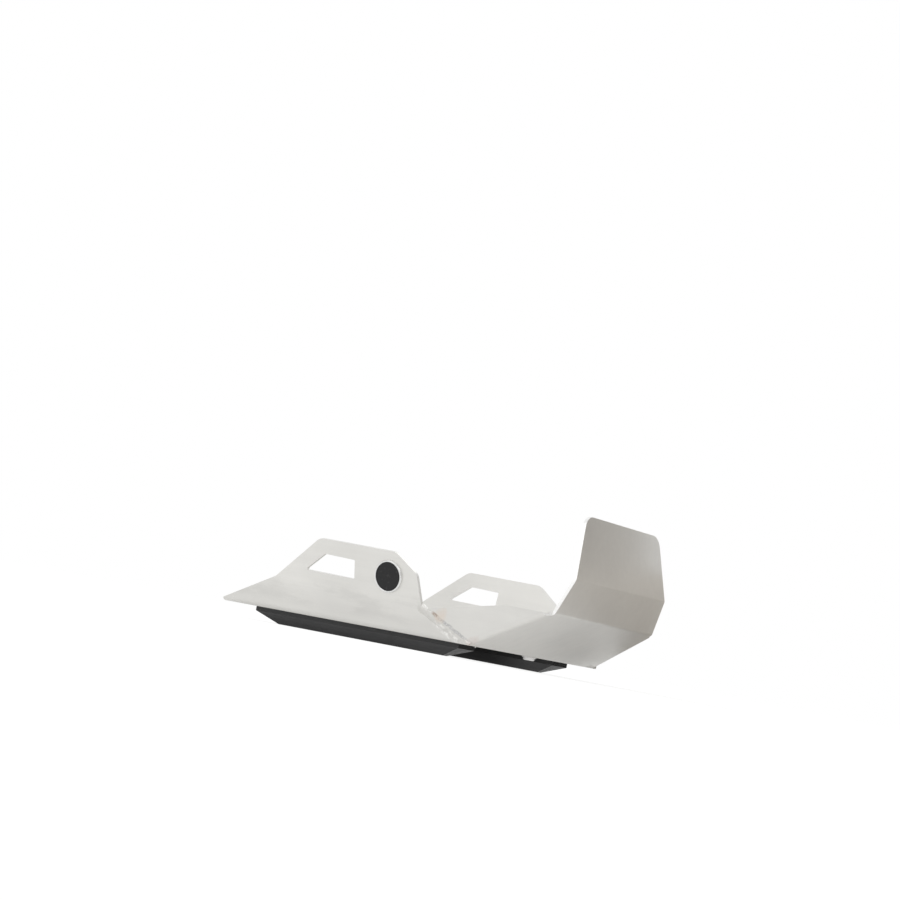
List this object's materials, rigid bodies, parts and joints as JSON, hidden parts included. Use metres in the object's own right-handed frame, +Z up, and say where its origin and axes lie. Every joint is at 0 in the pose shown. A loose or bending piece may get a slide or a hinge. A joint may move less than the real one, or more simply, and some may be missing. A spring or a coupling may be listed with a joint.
{
  "type": "motorcycle skid plate",
  "caption": "Folded and welded aluminium skid plate with upright side wings, corner gussets, a raised front shield and plastic sliding runners under the belly.",
  "frame": {"origin": "middle of the part's outline seen from above, on the plane of the runners' sliding faces", "axes": "+X forward along the machine, +Y to the machine's left side, +Z up"},
  "size_m": [0.4336, 0.3252, 0.1768],
  "materials": {
    "plate": "brushed, satin",
    "badge_rim": "satin, turned",
    "badge_face": "dark, fine grain",
    "runner": "machined, matte",
    "bolt": "zinc plated",
    "sleeve": "turned",
    "screw": "stainless"
  },
  "bodies": {
    "root": {"skid_plate": "plate", "badge_cup_right": "badge_rim", "badge_cup_left": "badge_rim", "badge_face_right": "badge_face", "badge_face_left": "badge_face", "runner_right": "runner", "runner_left": "runner", "runner_screw_right_front": "screw", "runner_screw_right_middle": "screw", "runner_screw_right_rear": "screw", "runner_screw_left_front": "screw", "runner_screw_left_middle": "screw", "runner_screw_left_rear": "screw", "runner_washer_right_front": "screw", "runner_washer_right_middle": "screw", "runner_washer_right_rear": "screw", "runner_washer_left_front": "screw", "runner_washer_left_middle": "screw", "runner_washer_left_rear": "screw", "mount_bolt_right_front": "bolt", "mount_bolt_right_rear": "bolt", "mount_bolt_left_front": "bolt", "mount_bolt_left_rear": "bolt", "mount_sleeve_right_front": "sleeve", "mount_sleeve_right_rear": "sleeve", "mount_sleeve_left_front": "sleeve", "mount_sleeve_left_rear": "sleeve"}
  },
  "joints": []
}
